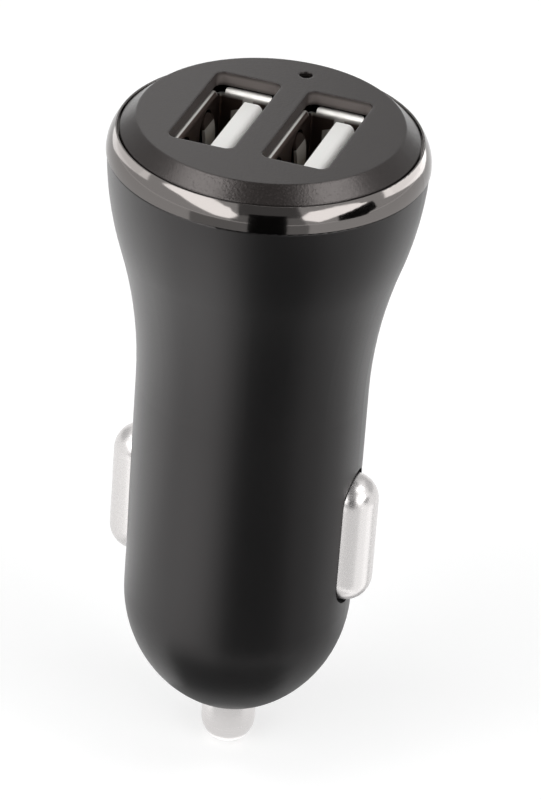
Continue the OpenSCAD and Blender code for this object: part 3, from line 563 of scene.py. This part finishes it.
class CHARGER_OT_stage(bpy.types.Operator):
    """Sets up the floor, the white room, the softboxes, the cards, the lamps and the camera"""

    bl_idname = "charger.stage"
    bl_label = "Stage"

    def execute(self, context):
        stage = context.scene.charger_stage
        self.room(context, stage)
        self.floor()
        self.softboxes(stage)
        self.cards(stage)
        self.piece_lights(stage)
        self.camera(context, stage)
        context.scene.view_settings.view_transform = "Standard"
        return {"FINISHED"}

    @staticmethod
    def softboxes(stage):
        """A low and a high softbox on each side of the camera."""
        low, high = glow("Low softbox", stage.low_level), glow("High softbox", stage.high_level)
        distance = 600 * MM
        for name, outline, face in (
                ("low_left", ((-16, 10), (-23, 3), (-32, 3), (-50, 14), (-63, 22), (-80, 24), (-75, 29),
                              (-60, 37), (-42, 38), (-26, 31)), low),
                ("low_right", ((23, 13), (37, 2), (51, 11), (63, 16), (76, 21), (68, 28), (54, 32), (33, 31)),
                 low),
                ("high_left", ((-45, 48), (-92, 42), (-92, 58), (-45, 64)), high),
                ("high_right", ((48, 48), (92, 42), (92, 58), (48, 64)), high)):
            upright_sheet(f"{name}_softbox", stage.azimuth, outline, distance, face, gives_light=True)

    @staticmethod
    def cards(stage):
        """Black, grey and white cards that shape what the ring, the cap and the housing mirror."""
        black, dark, grey = glow("Black card", 0.01), glow("Dark card", 0.35), glow("Grey card", 0.45)
        pale, white, drape = glow("Pale card", 0.6), glow("White card", 1.45), glow("Drape", 0.2)
        even, half, back = glow("Even card", 1.0), glow("Half card", 0.8), glow("Back card", 0.62)
        under_left, under_right = glow("Under left", 0.9), glow("Under right", 0.5)
        under_middle = glow("Under middle", 0.1)
        card_distance, drape_distance = 400 * MM, 440 * MM
        for name, distance, outline, material in (
                ("camera_card", card_distance, ((-10, -4), (15.5, -4), (15.5, 22), (-10, 22)), black),
                ("right_card", card_distance,
                 ((50, -3), (50, 10), (63, 15), (79, 20), (80, 3), (70, -5)), black),
                ("camera_drape", drape_distance, ((-21, -2), (28, -2), (26, 16), (-18, 16)), grey),
                ("high_drape", drape_distance,
                 ((-18, 16), (26, 16), (26, 45), (30, 60), (20, 80), (-20, 80), (-27, 60), (-22, 45)), drape),
                ("top_card", drape_distance, tuple((turn, 64) for turn in range(0, 360, 30)), drape),
                ("back_card", drape_distance, ((180, 5), (180, 60), (140, 60), (140, 5)), back),
                ("left_drape", drape_distance,
                 ((-98, 8), (-98, 38), (-125, 36), (-150, 22), (-150, -4), (-125, 2)), pale),
                ("right_drape", drape_distance,
                 ((98, 8), (98, 38), (125, 36), (150, 22), (150, -4), (125, 2)), pale)):
            upright_sheet(name, stage.azimuth, outline, distance, material)
        for name, turns, reaches, material in (
                ("camera_strip", (-10, 15.5), (128, 2000), black),
                ("left_strip", (-50, -10), (128, 1000), grey),
                ("right_strip", (15.5, 30), (128, 1000), grey),
                ("left_far_card", (-170, -50), (128, 1000), even),
                ("right_far_card", (30, 170), (128, 1000), even),
                ("front_card", (-13, 45), (25, 128), black),
                ("front_right_card", (45, 75), (25, 128), dark),
                ("far_right_card", (75, 105), (25, 128), pale),
                ("front_left_card", (-60, -26), (32, 128), white),
                ("soft_card", (-26, -13), (25, 128), half),
                ("low_soft_card", (-60, -26), (22, 32), half),
                ("under_left_card", (-180, -62), (8, 25), under_left),
                ("under_card", (-62, 55), (8, 22), under_middle),
                ("under_right_card", (55, 180), (8, 25), under_right),
                ("under_tip_card", (-180, 180), (2, 8), dark)):
            floor_sheet(name, stage.azimuth, turns, reaches, material)

    @classmethod
    def piece_lights(cls, stage):
        """Lamps on the floor for the right contact, the tip and the housing, and two behind the ring."""
        down, foot = Vector((0, 0, -1)), Vector((0, 0, FOOT_Z + LAMP_LIFT))
        tip_level = 0.73 * stage.contact_level
        for name, turn, reach, size, level, receiver in (
                ("contact_light", 15, 68, (220, 124), stage.contact_level, "right_contact"),
                ("tip_light", 15, 0, (44, 44), tip_level, "tip_contact"),
                ("left_edge_light", -140, 92, (190, 124), stage.edge_level, "housing")):
            azimuth = stage.azimuth + math.radians(turn)
            place = foot + toward(azimuth, 0) * reach * MM
            cls.linked_light(name, place, down, -azimuth, size, level, receiver)
        turn, rise, tilt, distance = math.radians(127), math.radians(9), math.radians(-26), 400 * MM
        for side, name, share in ((-1, "left", 0.55), (1, "right", 1.0)):
            back = toward(stage.azimuth + side * turn, rise)
            cls.linked_light(f"ring_{name}_light", HEAD + back * distance, back, side * tilt, (580, 190),
                             share * stage.ring_level, "trim_ring")

    @staticmethod
    def linked_light(name, place, back, tilt, size, level, receiver):
        """A soft lamp for one piece alone, its back turned to a direction; size is its sides in mm."""
        width, depth = (side * MM for side in size)
        data = bpy.data.lights.new(name, "AREA")
        data.shape = "RECTANGLE"
        data.size, data.size_y = width, depth
        data.energy = level * math.pi * width * depth
        lamp = bpy.data.objects.new(name, data)
        bpy.context.scene.collection.objects.link(lamp)
        lamp.matrix_world = (Matrix.Translation(place) @ back.to_track_quat("Z", "Y").to_matrix().to_4x4()
                             @ Matrix.Rotation(tilt, 4, "Z"))
        lamp.visible_camera = False
        group = bpy.data.collections.new(name)
        group.objects.link(NODES[receiver])
        lamp.light_linking.receiver_collection = group

    @staticmethod
    def room(context, stage):
        """White for the camera and for reflections, softer for the light it casts."""
        world = bpy.data.worlds.new("White room")
        context.scene.world = world
        world.use_nodes = True
        tree = world.node_tree
        tree.nodes.clear()
        level = add(tree, "ShaderNodeMapRange", {
            "Value": seen_directly(tree), "To Min": stage.world_level, "To Max": 1.0})
        shader = add(tree, "ShaderNodeBackground", {
            "Strength": level.outputs["Result"], "Color": (1, 1, 1, 1)})
        output = add(tree, "ShaderNodeOutputWorld")
        tree.links.new(shader.outputs["Background"], output.inputs["Surface"])

    @staticmethod
    def floor():
        """A white floor under the tip: it keeps a faint shadow near the plug and turns white farther out."""
        half = 3.0
        span, near_lift, far_lift = (150 * MM, 500 * MM), 0.5, 0.9
        mesh = bpy.data.meshes.new("floor")
        mesh.from_pydata([(x * half, y * half, FOOT_Z) for x, y in ((-1, -1), (1, -1), (1, 1), (-1, 1))], [],
                         [(0, 1, 2, 3)])
        material, tree, output = new_material("White board")
        matte = add(tree, "ShaderNodeBsdfDiffuse", {"Color": (*linear("#c8c8c8"), 1)})
        place = add(tree, "ShaderNodeTexCoord")
        reach = add(tree, "ShaderNodeVectorMath", {0: place.outputs["Object"]}, operation="LENGTH")
        far = add(tree, "ShaderNodeMapRange", {
            "Value": reach.outputs["Value"], "From Min": span[0], "From Max": span[1], "To Min": near_lift,
            "To Max": far_lift})
        lift = add(tree, "ShaderNodeMath", {0: seen_directly(tree), 1: far.outputs["Result"]},
                   operation="MULTIPLY")
        light = add(tree, "ShaderNodeEmission", {"Color": (1, 1, 1, 1), "Strength": lift.outputs[0]})
        both = add(tree, "ShaderNodeAddShader", {0: matte.outputs["BSDF"], 1: light.outputs["Emission"]})
        tree.links.new(both.outputs["Shader"], output.inputs["Surface"])
        mesh.materials.append(material)
        floor = bpy.data.objects.new("floor", mesh)
        bpy.context.scene.collection.objects.link(floor)

    @staticmethod
    def camera(context, stage):
        """The camera of the photograph's viewpoint."""
        back = toward(stage.azimuth, stage.elevation)
        level_right = Vector((math.cos(stage.azimuth), math.sin(stage.azimuth), 0))
        level_up = back.cross(level_right)
        right = math.cos(stage.roll) * level_right + math.sin(stage.roll) * level_up
        up = back.cross(right)
        data = bpy.data.cameras.new("camera")
        data.sensor_fit = "VERTICAL"
        data.sensor_height = stage.sensor
        data.lens = stage.lens
        data.clip_start, data.clip_end = 0.01, 100
        camera = bpy.data.objects.new("camera", data)
        context.scene.collection.objects.link(camera)
        place = Vector((0, 0, FACE_Z)) + back * stage.distance - up * stage.drop - right * stage.slide
        axes = Matrix((right, up, back)).transposed().to_4x4()
        camera.matrix_world = Matrix.Translation(place) @ axes
        context.scene.camera = camera


class CHARGER_PT_panel(bpy.types.Panel):
    """Lists the pieces in the order they are made"""

    bl_idname = "CHARGER_PT_panel"
    bl_label = "Charger plug"
    bl_space_type = "VIEW_3D"
    bl_region_type = "UI"
    bl_category = "Charger"

    def draw(self, context):
        for step in STEPS:
            self.layout.operator(step.bl_idname)
        for group in (context.scene.charger_finish, context.scene.charger_stage):
            for name in group.__annotations__:
                self.layout.prop(group, name)


STEPS = (CHARGER_OT_housing, CHARGER_OT_head, CHARGER_OT_ports, CHARGER_OT_contacts, CHARGER_OT_springs,
         CHARGER_OT_electronics, CHARGER_OT_stage)
CLASSES = (ChargerFinish, ChargerStage, *STEPS, CHARGER_PT_panel)


def register():
    for cls in CLASSES:
        bpy.utils.register_class(cls)
    bpy.types.Scene.charger_finish = bpy.props.PointerProperty(type=ChargerFinish)
    bpy.types.Scene.charger_stage = bpy.props.PointerProperty(type=ChargerStage)


def unregister():
    del bpy.types.Scene.charger_stage
    del bpy.types.Scene.charger_finish
    for cls in reversed(CLASSES):
        bpy.utils.unregister_class(cls)


def main():
    """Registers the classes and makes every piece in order."""
    register()
    bpy.ops.charger.housing()
    bpy.ops.charger.head()
    bpy.ops.charger.ports()
    bpy.ops.charger.contacts()
    bpy.ops.charger.springs()
    bpy.ops.charger.electronics()
    bpy.ops.charger.stage()


if __name__ == "__main__":
    main()
